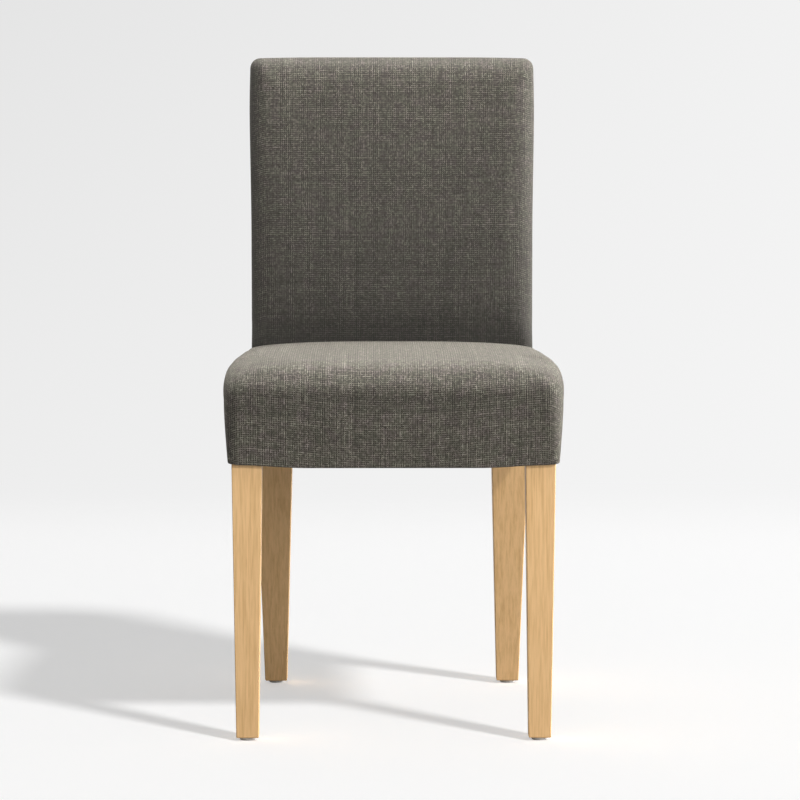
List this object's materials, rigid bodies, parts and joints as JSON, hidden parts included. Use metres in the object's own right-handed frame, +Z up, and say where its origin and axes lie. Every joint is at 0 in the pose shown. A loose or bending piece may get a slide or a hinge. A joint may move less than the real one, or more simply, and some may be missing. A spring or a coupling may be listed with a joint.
{
  "type": "parsons chair",
  "caption": "Armless upholstered dining chair with a tall reclined back, a thick rounded seat with a straight apron and tapered wooden legs.",
  "frame": {"origin": "on the floor, under the centre of the chair's outer box", "axes": "+Z up, +Y from the front of the seat to the back, +X across the chair towards a viewer's right when the chair is seen from the front"},
  "size_m": [0.46, 0.59, 0.936],
  "materials": {
    "oak": "light natural oak with a satin clear coat and fine straight grain along the leg",
    "beech": "unfinished sawn and planed beech",
    "pine": "unfinished sawn pine",
    "upholstery": "dark grey-brown slub weave, matte, with paler flecks in warp and weft",
    "padding": "pale open-cell polyurethane foam",
    "webbing": "woven jute and polypropylene webbing",
    "panel_board": "brown hardboard, smooth face outwards",
    "dust_lining": "black spun-bonded lining cloth",
    "zinc_screw": "bright zinc-plated steel",
    "glide": "pale grey moulded plastic"
  },
  "bodies": {
    "root": {"back_cover": "upholstery", "back_foam": "padding", "back_lower_rail": "beech", "back_panel": "panel_board", "back_top_rail": "beech", "back_webbing_1": "webbing", "back_webbing_2": "webbing", "back_webbing_3": "webbing", "block_screw_front_left_1": "zinc_screw", "block_screw_front_left_2": "zinc_screw", "block_screw_front_right_1": "zinc_screw", "block_screw_front_right_2": "zinc_screw", "block_screw_rear_left_1": "zinc_screw", "block_screw_rear_left_2": "zinc_screw", "block_screw_rear_right_1": "zinc_screw", "block_screw_rear_right_2": "zinc_screw", "corner_block_front_left": "pine", "corner_block_front_right": "pine", "corner_block_rear_left": "pine", "corner_block_rear_right": "pine", "dowel_left_1": "beech", "dowel_left_2": "beech", "dowel_left_3": "beech", "dowel_left_4": "beech", "dowel_left_5": "beech", "dowel_left_6": "beech", "dowel_left_7": "beech", "dowel_left_8": "beech", "dowel_right_1": "beech", "dowel_right_2": "beech", "dowel_right_3": "beech", "dowel_right_4": "beech", "dowel_right_5": "beech", "dowel_right_6": "beech", "dowel_right_7": "beech", "dowel_right_8": "beech", "dust_cover": "dust_lining", "front_leg_left": "oak", "front_leg_right": "oak", "front_rail": "beech", "glide_front_left": "glide", "glide_front_right": "glide", "glide_rear_left": "glide", "glide_rear_right": "glide", "rear_leg_left": "oak", "rear_leg_right": "oak", "rear_rail": "beech", "seat_cover": "upholstery", "seat_foam": "padding", "seat_webbing_cross_1": "webbing", "seat_webbing_cross_2": "webbing", "seat_webbing_cross_3": "webbing", "seat_webbing_long_1": "webbing", "seat_webbing_long_2": "webbing", "seat_webbing_long_3": "webbing", "side_rail_left": "beech", "side_rail_right": "beech"}
  },
  "joints": []
}
